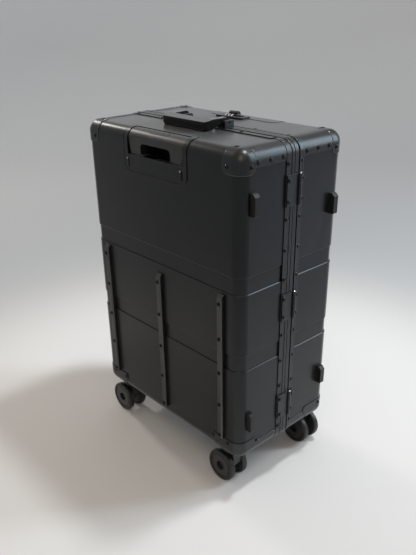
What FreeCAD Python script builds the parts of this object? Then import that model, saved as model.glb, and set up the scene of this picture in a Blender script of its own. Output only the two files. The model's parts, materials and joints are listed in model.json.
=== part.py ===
import FreeCAD, Part
import math
import os

from FreeCAD import Vector

# Rolling suitcase with a metal frame: two pressed shells, hinged along one narrow side.
# Millimetres. +Z is up, the floor is z = 0, -Y is the back with the trolley handle, +X is the hinge side.

# Shells
body_width = 480.0
body_depth = 284.0
body_height = 660.0
ground_clearance = 85.0
edge_radius = 24.0
wall = 1.2
band_height = 34.0
band_depth = 2.0
band_slope = 1.4
upper_band_height = 390.0
lower_band_height = 221.0

# Frame around the split
split_offset = 6.5
frame_gap = 4.0
rear_frame_width = 31.0
rear_flange_width = 12.0
front_frame_width = 11.5
front_lip_width = 4.0
flange_proud = 2.0
ridge_proud = 3.0
groove_proud = 1.0
groove_width = 2.0
first_ridge_width = 6.0
frame_depth = 8.0
frame_wall = 2.5
seal_inset = 2.5
seal_depth = 4.0

# Corner caps, corner guards and edge strips
plate = 1.6
cap_width = 46.0
cap_depth = 36.0
cap_drop = 43.0
cap_corner = 14.0
guard_width = 93.0
guard_depth = 64.0
front_guard_depth = 84.0
guard_height = 44.0
guard_corner = 9.0
guard_slant = 20.0
guard_lift = 3.0
guard_toe = 10.0
strip_plate = 1.2
strip_reach = 32.0
strip_joint = 0.9

# Skid rails on the back
rail_width = 14.0
rail_proud = 9.0
rail_wall = 1.6
rail_spacing = 191.0
rail_guard_gap = 1.0
rail_top = 384.0
middle_rail_drop = 14.0
rail_chamfer = 2.2
rail_nose = 7.0

# Side feet
foot_width = 13.0
foot_height = 42.0
foot_proud = 13.0
foot_slope = 6.0
foot_chamfer = 1.5
rear_foot_spread = 468.0
front_foot_spread = 402.0
front_foot_drop = 11.0
foot_from_face = 29.0

# Hinges
hinge_height = 60.0
hinge_spread = 240.0
leaf_thickness = 2.2
front_leaf_width = 12.0
knuckle_radius = 3.2
hinge_pin_radius = 1.6
pin_proud = 7.0
running_clearance = 0.05
knuckle_gap = 0.4
middle_knuckle = 24.0

# Trolley handle
bezel_half_width = 98.0
bezel_drop = 83.0
bezel_reach = 36.0
bezel_proud = 1.2
bezel_groove = 3.0
bezel_lap = 5.0
bezel_corner = 13.0
bezel_wall = 3.0
bezel_slot_width = 4.0
bezel_slot_height = 18.0
bezel_slot_depth = 2.4
bezel_slot_below = 8.0
bezel_slot_inset = 14.0
grip_half_width = 85.0
grip_depth = 26.0
grip_height = 51.0
grip_bar_height = 26.0
grip_taper = 6.0
grip_rise = 3.0
grip_face_inset = 2.0
finger_half_width = 47.0
finger_corner = 8.0
well_depth = 44.0
well_side = 4.5
well_below = 11.0
well_above = 10.0
ledge = 4.0
grip_clearance = 1.4
tube_width = 34.0
tube_thickness = 18.0
tube_wall = 1.2
tube_clearance = 0.3
tube_corner = 3.0
tube_from_back = 4.0
tube_foot = 20.0
tube_socket = 22.0
tube_step = 12.0
button_width = 58.0
button_depth = 12.5
button_height = 5.0
button_from_back = 11.0
button_corner = 4.0
button_travel = 3.0
button_clearance = 0.4
button_proud = 0.4

# Carry handles, one on top and one on the side away from the hinges
handle_half_length = 68.0
grip_bar_half_length = 66.0
handle_arm_width = 14.0
handle_grip_width = 24.0
handle_reach = 56.0
handle_thickness = 18.0
handle_lift = 3.6
handle_crown = 3.0
handle_arch = 5.0
handle_bar_drop = 2.8
handle_corner = 7.0
handle_edge = 1.2
handle_pin_radius = 3.0
bracket_cheek = 8.0
bracket_length = 24.0
bracket_inset = 5.0
bracket_clearance = 0.4
bracket_round = 5.0

# Combination lock on the front shell
lock_panel_half_width = 98.0
lock_panel_reach = 48.0
lock_panel_drop = 70.0
lock_panel_proud = 0.8
lock_length = 80.0
lock_width = 31.0
lock_thickness = 4.0
lock_from_front = 52.0
lock_offset = -18.0
lock_corner = 6.0
lock_case_depth = 14.0
lock_case_inset = 2.0
dial_radius = 7.0
dial_flats = 10
dial_width = 6.5
dial_pitch = 9.0
dial_sink = 3.8
dial_offset = -3.0
dial_from_edge = 10.5
dial_pin_radius = 1.5
lever_width = 20.0
lever_length = 12.0
lever_height = 9.0
lever_crown_run = 8.0
lever_crown_rise = 2.4
lever_ear = 2.4
lever_pin_radius = 1.2
slider_length = 16.0
slider_width = 8.0
slider_height = 3.0
slider_seat = 2.0
slider_chamfer = 1.0
slider_travel = 5.0
slider_offset = 21.0
slide_clearance = 0.3

# Draw latches on the side away from the hinges
latch_spread = 330.0
latch_height = 46.0
latch_base_width = 16.0
latch_base_height = 5.0
latch_lever_thickness = 4.0
latch_lever_reach = 33.0
latch_pin_radius = 2.0
latch_barrel_wall = 1.2
latch_ear = 4.0
latch_base_plate = 1.5
keeper_width = 8.0
latch_clearance = 0.4

# Casters
caster_from_side = 52.0
caster_from_face = 30.0
caster_trail = 11.0
wheel_radius = 37.5
wheel_width = 14.5
tyre_thickness = 8.0
tyre_shoulder = 2.5
hub_inset = 1.0
hub_groove = 1.5
hub_recess_radius = 11.0
hub_recess_depth = 7.0
axle_radius = 3.0
fork_thickness = 21.0
fork_boss_radius = 10.0
fork_fin = 30.0
fork_toe = 14.0
fork_round = 6.0
collar_radius = 18.0
collar_height = 5.0
collar_chamfer = 1.5
wheel_clearance = 0.6
caster_pad_radius = 21.0
caster_pad_height = 3.0
caster_boss_radius = 16.0
caster_boss_height = 24.0
kingpin_radius = 3.5
kingpin_depth = 22.0
swivel_clearance = 0.3

# Lining
lining = 1.0
lining_gap = 0.4

# Places worked out from the sizes above
x_mid = (handle_lift + handle_thickness - foot_proud) / 2
y_mid = (rail_proud - plate) / 2
left = x_mid - body_width / 2
right = x_mid + body_width / 2
back = y_mid - body_depth / 2
front = y_mid + body_depth / 2
bottom = ground_clearance
top = ground_clearance + body_height
middle = bottom + body_height / 2
split = y_mid + split_offset
rear_face = split - frame_gap / 2
front_face = split + frame_gap / 2
rear_frame_back = rear_face - rear_frame_width
front_frame_end = front_face + front_frame_width
rear_shell_end = rear_frame_back + rear_flange_width
front_shell_start = front_face + front_lip_width
far = 2 * body_height
tiny = 1e-6

X_AXIS = Vector(1, 0, 0)
Y_AXIS = Vector(0, 1, 0)
Z_AXIS = Vector(0, 0, 1)

parts = {}


def box(x0, x1, y0, y1, z0, z1):
    return Part.makeBox(x1 - x0, y1 - y0, z1 - z0, Vector(x0, y0, z0))


def edges_along(shape, axis):
    """Straight edges of a shape that run along an axis."""
    found = []
    for edge in shape.Edges:
        run = edge.Vertexes[-1].Point - edge.Vertexes[0].Point
        if isinstance(edge.Curve, Part.Line) and run.cross(axis).Length < tiny * run.Length:
            found.append(edge)
    return found


def round_box(x0, x1, y0, y1, z0, z1, radius, axis):
    """Box whose four edges along one axis are rounded."""
    block = box(x0, x1, y0, y1, z0, z1)
    return block.makeFillet(radius, edges_along(block, axis))


def prism(points, run):
    """Solid of a flat outline moved along a vector."""
    return Part.Face(Part.makePolygon(points + points[:1])).extrude(run)


def fuse(shapes):
    shapes = list(shapes)
    return shapes[0].multiFuse(shapes[1:]).removeSplitter()


def mirror_x(shape):
    return shape.mirror(Vector(x_mid, 0, 0), X_AXIS)


def both_sides(shape):
    return [shape, mirror_x(shape)]


def body_block(grow):
    """The whole body as one block, with every edge rounded, grown outward on all sides."""
    block = box(left - grow, right + grow, back - grow, front + grow, bottom - grow, top + grow)
    return block.makeFillet(edge_radius + grow, block.Edges)


def band_slabs(margin):
    slabs = []
    for height in (upper_band_height, lower_band_height):
        low = bottom + height - margin
        slabs.append(box(-far, far, -far, far, low, low + band_height + 2 * margin))
    return slabs


def tiered_block(grow, margin):
    """Body block drawn in by the band depth along the two bands, with sloped steps."""
    slabs = band_slabs(margin)
    levels = [z for slab in slabs for z in (slab.BoundBox.ZMin, slab.BoundBox.ZMax)]
    slabs = Part.makeCompound(slabs)
    waist = body_block(grow - band_depth)
    block = fuse([body_block(grow).cut(slabs)] + waist.common(slabs).Solids)
    rims = []
    for edge in block.Edges:
        halfway = edge.valueAt((edge.FirstParameter + edge.LastParameter) / 2)
        level = min(abs(halfway.z - z) for z in levels) < tiny
        if level and waist.distToShape(Part.Vertex(halfway))[0] > band_depth / 2:
            rims.append(edge)
    return block.makeChamfer(band_slope, rims)


def skin(thickness):
    """Thin layer over the outside of the body block."""
    return body_block(thickness).cut(body_block(0))


def frame_path():
    """Closed rounded outline of the body seen along Y, starting at the middle of the top."""
    r = edge_radius
    k = r * (1 - math.sqrt(0.5))
    corners = [(right, top, -1, -1), (right, bottom, -1, 1), (left, bottom, 1, 1), (left, top, 1, -1)]
    start = Vector(x_mid, 0, top)
    edges = []
    here = start
    for index, (cx, cz, sx, sz) in enumerate(corners):
        along_x = Vector(cx + sx * r, 0, cz)
        along_z = Vector(cx, 0, cz + sz * r)
        turn = Vector(cx + sx * k, 0, cz + sz * k)
        first, last = (along_x, along_z) if index % 2 == 0 else (along_z, along_x)
        edges.append(Part.makeLine(here, first))
        edges.append(Part.Arc(first, turn, last).toShape())
        here = last
    edges.append(Part.makeLine(here, start))
    return Part.Wire(edges)


def frame_sweep(profile):
    """Ring around the body from a section given as (y, height above the shell)."""
    points = [Vector(x_mid, y, top + n) for y, n in profile]
    pipe = Part.BRepOffsetAPI.MakePipeShell(frame_path())
    pipe.add(Part.makePolygon(points + points[:1]))
    pipe.build()
    pipe.makeSolid()
    return pipe.shape()


def rear_frame():
    """Flange over the shell, then two ridges with grooves between them, up to the split."""
    g1 = rear_shell_end
    r1 = g1 + groove_width
    g2 = r1 + first_ridge_width
    r2 = g2 + groove_width
    return frame_sweep([
        (rear_frame_back, 0), (rear_frame_back, flange_proud), (g1, flange_proud), (g1, groove_proud),
        (r1, groove_proud), (r1, ridge_proud), (g2, ridge_proud), (g2, groove_proud),
        (r2, groove_proud), (r2, ridge_proud), (rear_face, ridge_proud), (rear_face, -frame_depth),
        (rear_face - frame_wall, -frame_depth), (rear_face - frame_wall, groove_proud - frame_wall),
        (rear_shell_end, groove_proud - frame_wall), (rear_shell_end, 0)])


def front_frame():
    return frame_sweep([
        (front_face, -frame_depth), (front_face, ridge_proud), (front_shell_start, ridge_proud),
        (front_shell_start, flange_proud), (front_frame_end, flange_proud), (front_frame_end, 0),
        (front_shell_start, 0), (front_shell_start, -frame_depth)])


def frame_seal():
    """Rubber strip on the front frame that closes the gap, below the outer surface."""
    near = rear_face + slide_clearance
    return frame_sweep([
        (near, -seal_inset), (front_face, -seal_inset),
        (front_face, -seal_inset - seal_depth), (near, -seal_inset - seal_depth)])


def shell_halves():
    whole = tiered_block(0, 0).cut(tiered_block(-wall, wall))
    rear = whole.common(box(-far, far, -far, rear_shell_end, -far, far))
    lid = whole.common(box(-far, far, front_shell_start, far, -far, far))
    return rear, lid


def cap_region(y_face, gap):
    """Block around one upper right-hand corner of the body; its inner edges round the cap's outline."""
    inward = 1 if y_face < y_mid else -1
    inner = Vector(right - cap_width - gap, y_face + inward * (cap_depth + gap), top - cap_drop - gap)
    y0, y1 = sorted((inner.y, inner.y - inward * far))
    block = box(inner.x, inner.x + far, y0, y1, inner.z, inner.z + far)
    near = [e for e in block.Edges if min(v.Point.distanceToPoint(inner) for v in e.Vertexes) < tiny]
    return block.makeFillet(cap_corner + gap, near)


def guard_region(y_face, gap):
    """Space around one lower right-hand corner; the guard's ends sweep down towards the corner."""
    inward = 1 if y_face < y_mid else -1
    high, low = bottom + guard_height + gap, bottom + guard_lift - gap
    toe = low + guard_toe
    x0 = right - guard_width - gap
    depth = guard_depth if y_face < y_mid else front_guard_depth
    y0 = y_face + inward * (depth + gap)
    slant = inward * guard_slant
    wide = prism([Vector(x0, -far, high), Vector(x0 + guard_slant, -far, toe),
                  Vector(x0 + guard_slant, -far, low), Vector(far, -far, low), Vector(far, -far, high)],
                 Vector(0, 2 * far, 0))
    deep = prism([Vector(-far, y0, high), Vector(-far, y0 - slant, toe), Vector(-far, y0 - slant, low),
                  Vector(-far, -inward * far, low), Vector(-far, -inward * far, high)],
                 Vector(2 * far, 0, 0))
    regions = []
    for block, axis in ((wide, Y_AXIS), (deep, X_AXIS)):
        ends = [e for e in edges_along(block, axis) if low + tiny < e.Vertexes[0].Z]
        across = X_AXIS if axis == Y_AXIS else Y_AXIS
        sweep = [e for e in ends if abs(e.Vertexes[0].Point.dot(across)) < right]
        regions.append(block.makeFillet(guard_corner, sweep))
    return regions[0].common(regions[1])


def pad_space(y_face):
    """Room for the pad of one right-hand caster."""
    x, y = caster_places()["rear_right" if y_face < y_mid else "front_right"]
    return Part.makeCylinder(caster_pad_radius + strip_joint, far, Vector(x, y, bottom - far / 2))


def corner_plates(y_face, upper):
    if upper:
        region = cap_region(y_face, 0)
    else:
        region = guard_region(y_face, 0).cut(pad_space(y_face))
    return both_sides(skin(plate).common(region))


def edge_strips(y_face):
    """Strips over the narrow side's top and bottom edges, from the corner plates to the frame."""
    if y_face < y_mid:
        y0, y1 = y_face, rear_frame_back - strip_joint
    else:
        y0, y1 = front_frame_end + strip_joint, y_face
    layer = skin(strip_plate)
    strips = []
    for upper in (True, False):
        z0, z1 = (top - strip_reach, top + far) if upper else (bottom - far, bottom + strip_reach)
        strip = layer.common(box(right - strip_reach, right + far, y0, y1, z0, z1))
        if upper:
            region = cap_region(y_face, strip_joint)
        else:
            region = fuse([guard_region(y_face, strip_joint), pad_space(y_face)])
        strips += both_sides(strip.cut(region))
    return strips


def skid_rails():
    """Three channels down the back, each closed by a sloped nose at the upper end."""
    half = rail_width / 2
    inside = half - rail_wall
    c = rail_chamfer
    outline = [(-half, 0), (-half, -rail_proud + c), (-half + c, -rail_proud), (half - c, -rail_proud),
               (half, -rail_proud + c), (half, 0)]
    rails = []
    for shift, drop in ((-rail_spacing, 0), (0, middle_rail_drop), (rail_spacing, 0)):
        x = x_mid + shift
        z0 = bottom + guard_height + rail_guard_gap - drop
        z1 = bottom + rail_top - drop
        bar = prism([Vector(x + u, back + v, z0) for u, v in outline], Vector(0, 0, z1 - z0))
        channel = box(x - inside, x + inside, back - rail_proud + rail_wall, back, z0, z1 - 2 * rail_nose)
        nose = prism([Vector(-far, back - rail_proud, z1 - rail_nose), Vector(-far, back - rail_proud, z1),
                      Vector(-far, back - rail_proud + rail_nose, z1)], Vector(2 * far, 0, 0))
        rails.append(bar.cut(channel).cut(nose))
    return rails


def side_feet(y_face, spread, drop):
    """Two bumpers on the hinge side, for laying the case down, each with a sloped upper end."""
    y = y_face + foot_from_face if y_face < y_mid else y_face - foot_from_face
    x0, x1 = right - foot_proud, right + foot_proud
    feet = []
    for middle_z in (middle - drop - spread / 2, middle - drop + spread / 2):
        z0, z1 = middle_z - foot_height / 2, middle_z + foot_height / 2
        outline = [(x0, z0), (x1 - foot_chamfer, z0), (x1, z0 + foot_chamfer), (x1, z1 - foot_slope),
                   (x1 - foot_slope, z1), (x0, z1)]
        block = prism([Vector(x, y - foot_width / 2, z) for x, z in outline], Vector(0, foot_width, 0))
        feet.append(block.cut(body_block(0)))
    return feet


def hinge_heights():
    return [middle - hinge_spread, middle, middle + hinge_spread]


def knuckle(z0, z1):
    return Part.makeCylinder(knuckle_radius, z1 - z0, Vector(right + pin_proud, split, z0), Z_AXIS)


def hinge_leaves():
    """Rear leaf with two outer knuckles, front leaf with the middle one, and the pin through them."""
    x0 = right + ridge_proud
    x1 = x0 + leaf_thickness
    notch = knuckle_radius + knuckle_gap
    rear_leaves, front_leaves, pins = [], [], []
    for z in hinge_heights():
        low, high = z - hinge_height / 2, z + hinge_height / 2
        in_low, in_high = z - middle_knuckle / 2, z + middle_knuckle / 2
        pin = Part.makeCylinder(hinge_pin_radius, hinge_height, Vector(right + pin_proud, split, low), Z_AXIS)
        bore = Part.makeCylinder(hinge_pin_radius + running_clearance, hinge_height,
                                 Vector(right + pin_proud, split, low), Z_AXIS)
        seat = box(right + flange_proud, x1, rear_frame_back, rear_shell_end, low, high)
        rear = box(x0, x1, rear_frame_back, split, low, high)
        rear = rear.cut(box(x0, x1, split - notch, split, in_low, in_high))
        rear = fuse([rear, seat, knuckle(low, in_low), knuckle(in_high, high)]).cut(pin)
        lid = box(x0, x1, split, front_shell_start, low, high)
        for a, b in ((low, in_low + knuckle_gap), (in_high - knuckle_gap, high)):
            lid = lid.cut(box(x0, x1, split, split + notch, a, b))
        foot = box(right + flange_proud, x1, front_shell_start, split + front_leaf_width, low, high)
        lid = fuse([lid, foot, knuckle(in_low + knuckle_gap, in_high - knuckle_gap)]).cut(bore)
        rear_leaves.append(rear)
        front_leaves.append(lid)
        pins.append(pin)
    return rear_leaves, front_leaves, pins


def rect_tube(x, y, z0, z1, width, thickness, corner):
    half_w, half_t = width / 2, thickness / 2
    return round_box(x - half_w, x + half_w, y - half_t, y + half_t, z0, z1, corner, Z_AXIS)


tube_x = (grip_half_width - grip_taper + finger_half_width) / 2
tube_y = back + tube_from_back + tube_thickness / 2
tube_floor = bottom + wall + tube_foot
grip_bottom = top - grip_height
nested_step = 2 * (tube_wall + tube_clearance)


def trolley_tubes(stage):
    """The pair of tubes of one stage: 0 is fixed in the case, 2 carries the grip."""
    width = tube_width - stage * nested_step
    thickness = tube_thickness - stage * nested_step
    corner = tube_corner - stage * tube_clearance
    z0 = tube_floor + stage * tube_step
    z1 = (grip_bottom - ledge, grip_bottom - slide_clearance, grip_bottom + tube_socket)[stage]
    tube = rect_tube(x_mid + tube_x, tube_y, z0, z1, width, thickness, corner)
    bore = rect_tube(x_mid + tube_x, tube_y, z0, z1, width - 2 * tube_wall, thickness - 2 * tube_wall,
                     corner - tube_wall)
    return both_sides(tube.cut(bore))


def trolley_foot():
    """Bridge on the case floor that the outer tubes stand on."""
    span = tube_x + tube_width / 2 + bezel_wall
    bridge = box(x_mid - span, x_mid + span, tube_y - tube_thickness / 2, tube_y + tube_thickness / 2,
                 bottom, tube_floor)
    return bridge.common(body_block(-wall))


def grip_space(gap):
    half = grip_half_width + gap
    return box(x_mid - half, x_mid + half, back - far, back + grip_depth + gap, grip_bottom, top + far)


def edge_block(half_width, reach, drop, corner, y_face):
    """Space of a panel with rounded corners that goes over the top edge of the back or the front."""
    y0, y1 = (y_face - far, y_face + reach) if y_face < y_mid else (y_face - reach, y_face + far)
    inner_y = y1 if y_face < y_mid else y0
    block = box(x_mid - half_width, x_mid + half_width, y0, y1, top - drop, top + far)
    lower = [e for e in edges_along(block, Y_AXIS) if e.Vertexes[0].Z < top]
    behind = [e for e in edges_along(block, Z_AXIS) if abs(e.Vertexes[0].Y - inner_y) < tiny]
    return block.makeFillet(corner, lower + behind)


def bezel_block(grow):
    half_width, reach, drop = bezel_half_width + grow, bezel_reach + grow, bezel_drop + grow
    return edge_block(half_width, reach, drop, bezel_corner + grow, back)


def trolley_bezel():
    """Moulded housing, set in from behind: raised rim and panel, pocket for the grip, finger well."""
    w = bezel_wall
    lap = body_block(-wall).cut(body_block(-wall - w)).common(bezel_block(bezel_groove + bezel_lap))
    tray = bezel_block(0).common(body_block(bezel_proud))
    half = grip_half_width + grip_clearance
    hollow = box(x_mid - half, x_mid + half, back + w, back + bezel_reach, bottom, grip_bottom - ledge)
    well_half = finger_half_width - well_side
    well_low = grip_bottom - well_below
    well_high = top - well_above
    well = box(x_mid - well_half - w, x_mid + well_half + w, back + w, back + well_depth + w,
               well_low - w, well_high + w)
    well_space = box(x_mid - well_half, x_mid + well_half, back + w, back + well_depth, well_low, well_high)
    housing = fuse([fuse([tray, lap]).cut(hollow), well]).cut(well_space).cut(grip_space(grip_clearance))
    width = tube_width - nested_step + 2 * tube_clearance
    thickness = tube_thickness - nested_step + 2 * tube_clearance
    passage = rect_tube(x_mid + tube_x, tube_y, grip_bottom - ledge, grip_bottom, width, thickness,
                        tube_corner)
    slot_x = x_mid + bezel_half_width - bezel_slot_inset
    slot_z = grip_bottom - bezel_slot_below
    slot = box(slot_x - bezel_slot_width / 2, slot_x + bezel_slot_width / 2, back - far,
               back - bezel_proud + bezel_slot_depth, slot_z - bezel_slot_height, slot_z)
    for hole in both_sides(passage) + both_sides(slot):
        housing = housing.cut(hole)
    return housing


def button_block(gap, z0, z1):
    half = button_width / 2 + gap
    y0 = back + button_from_back - gap
    y1 = y0 + button_depth + 2 * gap
    return round_box(x_mid - half, x_mid + half, y0, y1, z0, z1, button_corner, Z_AXIS)


def trolley_grip():
    """Hood that carries on the rounded top edge, over a flat face with a tapered leg for each tube."""
    grip = body_block(0).common(grip_space(0))
    grip = grip.common(box(-far, far, back + grip_face_inset, far, grip_bottom + grip_rise, far))
    opening = round_box(x_mid - finger_half_width, x_mid + finger_half_width, back - far, back + far,
                        grip_bottom - far, top - grip_bar_height, finger_corner, Y_AXIS)
    grip = grip.cut(opening)
    side = x_mid + grip_half_width
    wedge = prism([Vector(side, -far, top - edge_radius), Vector(side, -far, grip_bottom),
                   Vector(side - grip_taper, -far, grip_bottom)], Vector(0, 2 * far, 0))
    for taper in both_sides(wedge):
        grip = grip.cut(taper)
    width = tube_width - 2 * nested_step
    thickness = tube_thickness - 2 * nested_step
    socket = rect_tube(x_mid + tube_x, tube_y, grip_bottom, grip_bottom + tube_socket, width, thickness,
                       tube_corner - 2 * tube_clearance)
    for hole in both_sides(socket):
        grip = grip.cut(hole)
    return grip.cut(button_block(button_clearance, top - button_height - 2 * button_travel, top + far))


def trolley_button():
    return body_block(button_proud).common(button_block(0, top - button_height - button_travel, top + far))


def handle_outline():
    """Top view of a carry handle as (along, across) from the middle of its pivot line."""
    a, b = handle_half_length, grip_bar_half_length
    w, g = handle_arm_width, handle_grip_width
    tail = handle_thickness / 2
    knee = -handle_thickness
    return [(-a, tail), (-a, knee), (-b, -handle_reach), (b, -handle_reach), (a, knee), (a, tail),
            (a - w, tail), (a - w, knee), (b - w, g - handle_reach), (w - b, g - handle_reach),
            (w - a, knee), (w - a, tail)]


handle_pivot_y = (rear_frame_back + rear_face) / 2
handle_pivot_z = top + handle_lift + handle_thickness / 2


def carry_handle():
    """Stiff U-shaped handle, lying over the rear shell."""
    z = handle_pivot_z - handle_thickness / 2
    points = [Vector(x_mid + u, handle_pivot_y + v, z) for u, v in handle_outline()]
    body = prism(points, Vector(0, 0, handle_thickness))
    knees = [e for e in edges_along(body, Z_AXIS) if e.Vertexes[0].Y < handle_pivot_y]
    body = body.makeFillet(handle_corner, knees)
    rims = [e for e in body.Edges if e.BoundBox.ZLength < tiny and e.BoundBox.YMin < handle_pivot_y - tiny]
    body = fuse([body.makeChamfer(handle_edge, rims), handle_sole()])
    for space in handle_hollows():
        body = body.cut(space)
    for side in both_sides(round_end()):
        body = body.cut(side)
    bore = Part.makeCylinder(handle_pin_radius + running_clearance, far,
                             Vector(-far / 2, handle_pivot_y, handle_pivot_z), X_AXIS)
    return body.cut(bore)


def handle_sole():
    """Lower part of the bar, which reaches nearly to the case."""
    y0 = handle_pivot_y - handle_reach
    half = grip_bar_half_length - handle_edge
    z = handle_pivot_z - handle_thickness / 2
    sole = box(x_mid - half, x_mid + half, y0 + handle_edge, y0 + handle_grip_width - handle_edge,
               z - handle_bar_drop, z + handle_edge)
    near = [e for e in edges_along(sole, Z_AXIS) if e.Vertexes[0].Y < y0 + handle_grip_width / 2]
    return sole.makeFillet(handle_corner, near)


def handle_hollows():
    """Room above the bar, whose top slopes down outward, and below the arms, which are arched."""
    y0 = handle_pivot_y - handle_reach
    y1 = y0 + handle_grip_width
    y2 = handle_pivot_y - handle_thickness / 2
    z0, z1 = handle_pivot_z - handle_thickness / 2, handle_pivot_z + handle_thickness / 2
    a = handle_arch
    above = [(y0, z1 - handle_crown), (y1, z1), (y0, z1)]
    below = [(y1, z0), (y1 + a, z0 + a), (y2 - a, z0 + a), (y2, z0)]
    across = Vector(2 * far, 0, 0)
    return [prism([Vector(-far, y, z) for y, z in outline], across) for outline in (above, below)]


def round_end():
    """What is taken off an arm's square end to leave it round about the pivot."""
    half = handle_thickness / 2
    x0 = x_mid + handle_half_length - handle_arm_width
    x1 = x_mid + handle_half_length
    block = box(x0, x1, handle_pivot_y, handle_pivot_y + half, handle_pivot_z - half, handle_pivot_z + half)
    return block.cut(Part.makeCylinder(half, x1 - x0, Vector(x0, handle_pivot_y, handle_pivot_z), X_AXIS))


def handle_brackets():
    """Two-cheeked blocks on the rear frame, with the pins that the handle turns on."""
    x0 = x_mid + handle_half_length - handle_arm_width - bracket_clearance
    x1 = x_mid + handle_half_length + bracket_clearance
    y0, y1 = handle_pivot_y - bracket_length / 2, handle_pivot_y + bracket_length / 2
    z0 = top + ridge_proud
    z1 = handle_pivot_z + handle_thickness / 2 - bracket_inset
    block = round_box(x0 - bracket_cheek, x1 + bracket_cheek, y0, y1, z0 - bracket_round, z1,
                      bracket_round, X_AXIS)
    block = block.common(box(-far, far, -far, far, z0, far))
    floor = handle_pivot_z - handle_thickness / 2 - bracket_clearance
    slot = box(x0, x1, y0, y1, floor, far)
    pin = Part.makeCylinder(handle_pin_radius, x1 - x0 + 2 * bracket_cheek,
                            Vector(x0 - bracket_cheek, handle_pivot_y, handle_pivot_z), X_AXIS)
    return both_sides(block.cut(slot).cut(pin)), both_sides(pin)


def to_latch_side(shape):
    """Turn a piece from the middle of the top to the middle of the side away from the hinges."""
    turned = shape.copy()
    turned.rotate(Vector(x_mid, 0, top), Y_AXIS, -90)
    turned.translate(Vector(left - x_mid, 0, middle - top))
    return turned


def lock_frame():
    """Middle of the lock on the front half's top: x, y and the shell's upper face."""
    return x_mid + lock_offset, front - lock_from_front, top


def lock_case_space(gap):
    x, y, _ = lock_frame()
    half_x = lock_length / 2 - lock_case_inset + gap
    half_y = lock_width / 2 - lock_case_inset + gap
    return box(x - half_x, x + half_x, y - half_y, y + half_y, top - lock_case_depth - gap, far)


def dial_places():
    x, y, z = lock_frame()
    places = [x + dial_offset + step * dial_pitch for step in (-1, 0, 1)]
    return places, y - lock_width / 2 + dial_from_edge, z + lock_thickness - dial_sink


def lock_dials():
    """Number wheels on one pin, each with a flat for every digit."""
    places, y, z = dial_places()
    turn = 2 * math.pi / dial_flats
    dials = []
    for x in places:
        x0 = x - dial_width / 2
        rim = [Vector(x0, y + dial_radius * math.cos(turn * k), z + dial_radius * math.sin(turn * k))
               for k in range(dial_flats)]
        drum = prism(rim, Vector(dial_width, 0, 0))
        bore = Part.makeCylinder(dial_pin_radius + running_clearance, dial_width, Vector(x0, y, z), X_AXIS)
        dials.append(drum.cut(bore))
    return dials


def lever_pivot():
    x, y, z = lock_frame()
    return Vector(x, y + lock_width / 2 - lever_length, z + lock_thickness + lever_height / 2)


def lock_lever():
    """Domed lifting tab at the front edge of the lock, hinged along X."""
    p = lever_pivot()
    r = lever_height / 2 - slide_clearance
    x0 = p.x - lever_width / 2
    heel = Part.Arc(Vector(x0, p.y, p.z - r), Vector(x0, p.y - r, p.z), Vector(x0, p.y, p.z + r)).toShape()
    crest = Vector(x0, p.y + lever_crown_run, p.z + lever_crown_rise)
    tip = Vector(x0, p.y + lever_length, p.z - r)
    crown = Part.Arc(Vector(x0, p.y, p.z + r), crest, tip).toShape()
    sole = Part.makeLine(tip, Vector(x0, p.y, p.z - r))
    tab = Part.Face(Part.Wire([heel, crown, sole])).extrude(Vector(lever_width, 0, 0))
    bore = Part.makeCylinder(lever_pin_radius + running_clearance, lever_width, Vector(x0, p.y, p.z), X_AXIS)
    return tab.cut(bore)


def lock_plate(gap):
    x, y, z = lock_frame()
    half_x = lock_length / 2 + gap
    half_y = lock_width / 2 + gap
    return round_box(x - half_x, x + half_x, y - half_y, y + half_y, z, z + lock_thickness,
                     lock_corner, Z_AXIS)


def lock_body():
    """Base plate with a case below it, dial slots, the dial pin, lever ears and a slot for the slider."""
    z = lock_frame()[2]
    case = lock_case_space(0).common(box(-far, far, -far, far, 0, z + slider_seat))
    body = fuse([lock_plate(0), case])
    places, dial_y, dial_z = dial_places()
    space = dial_radius + slide_clearance
    for dial_x in places:
        half = dial_width / 2 + slide_clearance
        body = body.cut(Part.makeCylinder(space, 2 * half, Vector(dial_x - half, dial_y, dial_z), X_AXIS))
    pin_start = places[0] - dial_pitch
    dial_pin = Part.makeCylinder(dial_pin_radius, places[-1] + dial_pitch - pin_start,
                                 Vector(pin_start, dial_y, dial_z), X_AXIS)
    p = lever_pivot()
    inner = lever_width / 2 + slide_clearance
    outer = inner + lever_ear
    ears = []
    for x0, x1 in ((p.x - outer, p.x - inner), (p.x + inner, p.x + outer)):
        ears.append(box(x0, x1, p.y - lever_ear, p.y + lever_ear, z + lock_thickness, p.z + lever_ear))
    lever_pin = Part.makeCylinder(lever_pin_radius, 2 * outer, Vector(p.x - outer, p.y, p.z), X_AXIS)
    body = fuse([body, dial_pin, lever_pin] + ears)
    return body.cut(slider_slot())


def slider_slot():
    x, y, z = lock_frame()
    x0 = x + slider_offset - slider_length / 2 - slide_clearance
    x1 = x0 + slider_length + slider_travel + 2 * slide_clearance
    half = slider_width / 2 + slide_clearance
    return box(x0, x1, y - half, y + half, z + slider_seat, far)


def lock_slider():
    """Button that slides along the lock to free it."""
    x, y, z = lock_frame()
    x0 = x + slider_offset - slider_length / 2
    block = box(x0, x0 + slider_length, y - slider_width / 2, y + slider_width / 2, z + slider_seat,
                z + lock_thickness + slider_height)
    crown = [e for e in block.Edges if min(v.Z for v in e.Vertexes) > z + lock_thickness]
    return block.makeChamfer(slider_chamfer, crown)


def latch_heights():
    return [middle - latch_spread / 2, middle + latch_spread / 2]


latch_pin_y = rear_frame_back + rear_flange_width
latch_pin_x = left - ridge_proud - latch_base_height


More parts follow.
